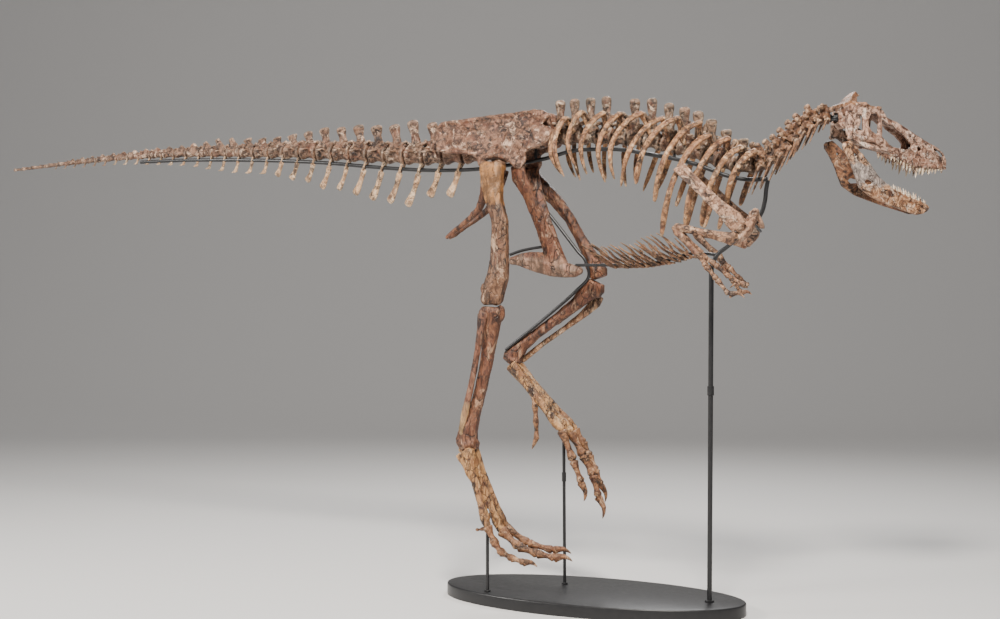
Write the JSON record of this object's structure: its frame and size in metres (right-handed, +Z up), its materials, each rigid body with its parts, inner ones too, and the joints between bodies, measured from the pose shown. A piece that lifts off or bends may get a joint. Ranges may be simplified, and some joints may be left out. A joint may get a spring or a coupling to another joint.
{
  "type": "mounted dinosaur skeleton",
  "caption": "Life-size skeleton of a young tyrannosaurid running with jaws open, held above a black oval base by steel rods and tubes",
  "frame": {"origin": "on the underside of the oval base, near its centre, below the body mid-plane", "axes": "+X toward the head, +Y to the animal's left, +Z up"},
  "size_m": [6.1911, 0.9007, 2.7627],
  "materials": {
    "bone_tail": "mottled brown fossil bone, matt varnish",
    "bone_hip": "reddish-brown fossil bone with pale patches",
    "bone_leg": "tan and red-brown fossil bone",
    "bone_foot": "golden tan fossil bone",
    "bone_trunk": "grey-brown fossil bone",
    "bone_head": "pinkish tan fossil bone",
    "bone_jaw": "cream and orange-brown fossil bone",
    "stand_black": "satin black paint"
  },
  "bodies": {
    "root": {"stand_base": "stand_black", "stand_rod_rear": "stand_black", "stand_rod_middle": "stand_black", "stand_rod_front": "stand_black", "stand_spine_tube": "stand_black", "stand_front_tube": "stand_black", "stand_leg_tube_left": "stand_black", "stand_belly_rod": "stand_black", "stand_pubis_rod": "stand_black", "sacrum": "bone_hip", "femur_right": "bone_leg", "femur_left": "bone_leg", "pubis": "bone_hip", "ischium_right": "bone_hip", "ischium_left": "bone_hip", "ilium_right": "bone_hip", "ilium_left": "bone_hip", "tibia_right": "bone_leg", "tibia_left": "bone_leg", "fibula_right": "bone_leg", "fibula_left": "bone_leg", "metatarsus_right": "bone_foot", "metatarsus_left": "bone_foot", "hallux_right": "bone_foot", "hallux_left": "bone_foot", "toe_2_right": "bone_foot", "toe_3_right": "bone_foot", "toe_4_right": "bone_foot", "toe_2_left": "bone_foot", "toe_3_left": "bone_foot", "toe_4_left": "bone_foot", "tail_1": "bone_tail", "tail_2": "bone_tail", "tail_3": "bone_tail", "tail_4": "bone_tail", "ribcage_right": "bone_trunk", "ribcage_left": "bone_trunk", "neck_rear": "bone_trunk", "neck_front": "bone_trunk", "stand_head_block": "stand_black", "scapula_right": "bone_trunk", "scapula_left": "bone_trunk", "furcula": "bone_trunk", "humerus_right": "bone_leg", "humerus_left": "bone_leg", "forearm_right": "bone_leg", "forearm_left": "bone_leg", "hand_right": "bone_foot", "hand_left": "bone_foot", "gastralia": "bone_trunk", "skull": "bone_head", "jaw_right": "bone_jaw", "jaw_left": "bone_jaw"}
  },
  "joints": []
}
